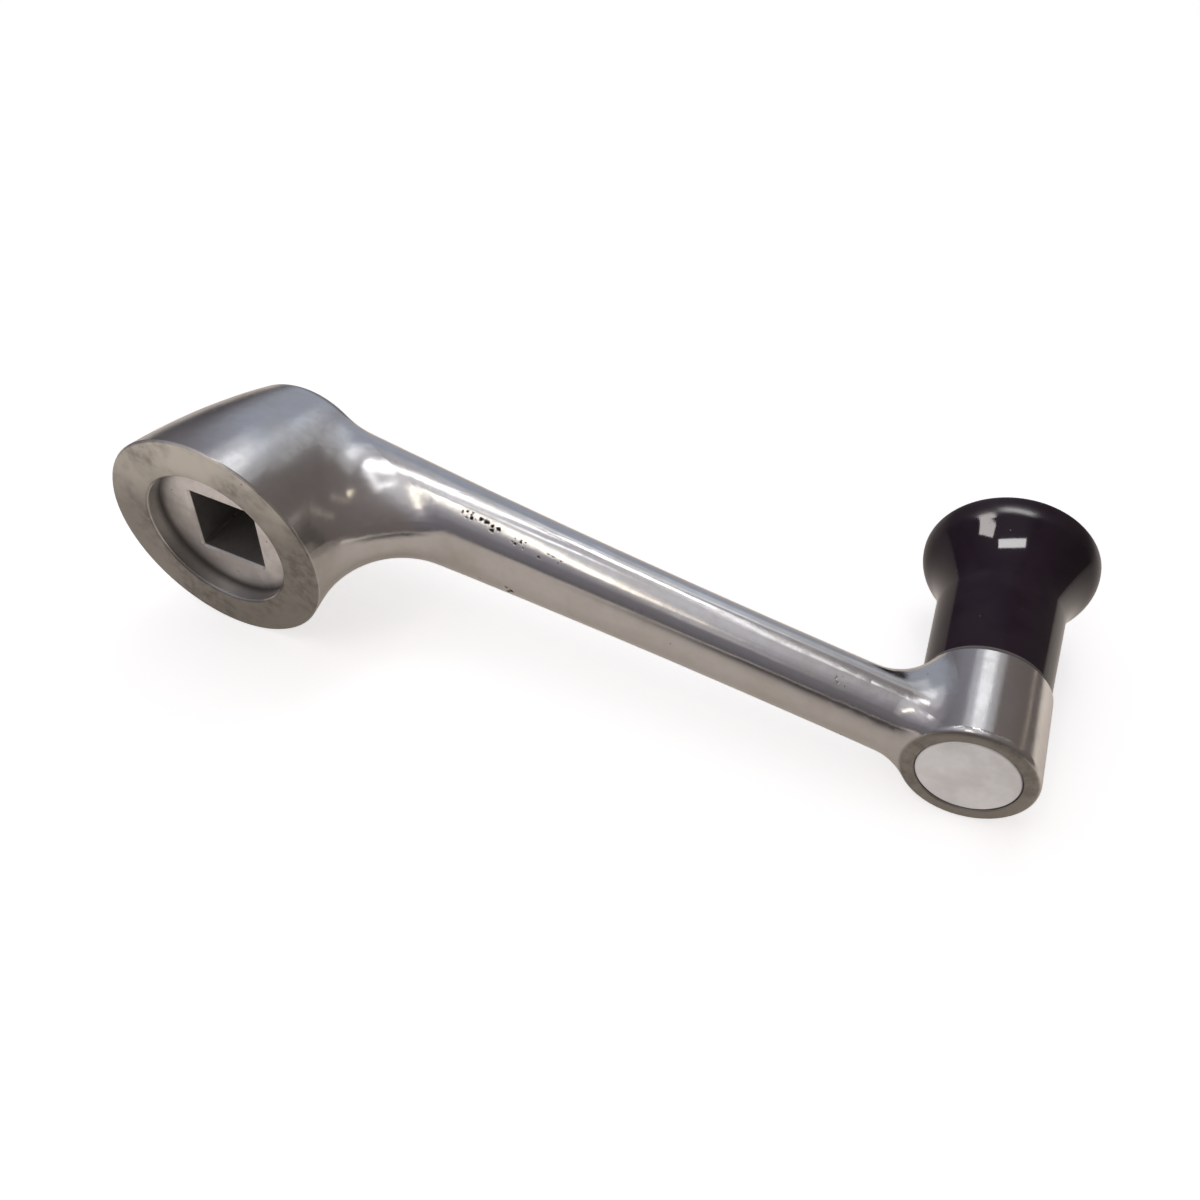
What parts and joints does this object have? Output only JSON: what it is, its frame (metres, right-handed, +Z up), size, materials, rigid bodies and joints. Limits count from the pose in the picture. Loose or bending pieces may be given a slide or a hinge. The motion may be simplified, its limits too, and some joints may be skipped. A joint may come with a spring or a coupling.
{
  "type": "crank handle",
  "caption": "One-piece crank arm with a barrel hub, a square drive socket and a free-turning flared knob on a shouldered spindle.",
  "frame": {"origin": "centre of the square socket, in the plane of the hub's mounting face", "axes": "+Y along the shaft axis from the mounting face towards the knob, +X along the arm to the knob, +Z up as the crank lies on its side"},
  "size_m": [0.128, 0.0505, 0.0322],
  "materials": {
    "cast_aluminium": "brushed and part polished casting, satin",
    "plated_steel": "matt plated, turned",
    "cover_disc": "matt, light grey",
    "black_knob": "gloss black moulding",
    "zinc_steel": "zinc plated fastener"
  },
  "bodies": {
    "crank": {"crank_casting": "cast_aluminium", "drive_bush": "plated_steel", "knob_spindle": "zinc_steel", "lock_washer": "zinc_steel", "spindle_nut": "zinc_steel", "boss_cover": "cover_disc"},
    "knob": {"knob": "black_knob"}
  },
  "joints": [
    {"name": "knob_spin", "type": "hinge", "parent": "crank", "child": "knob", "pos_m": [0.1, 0.035, 0], "axis": [0, 1, 0], "continuous": true}
  ]
}
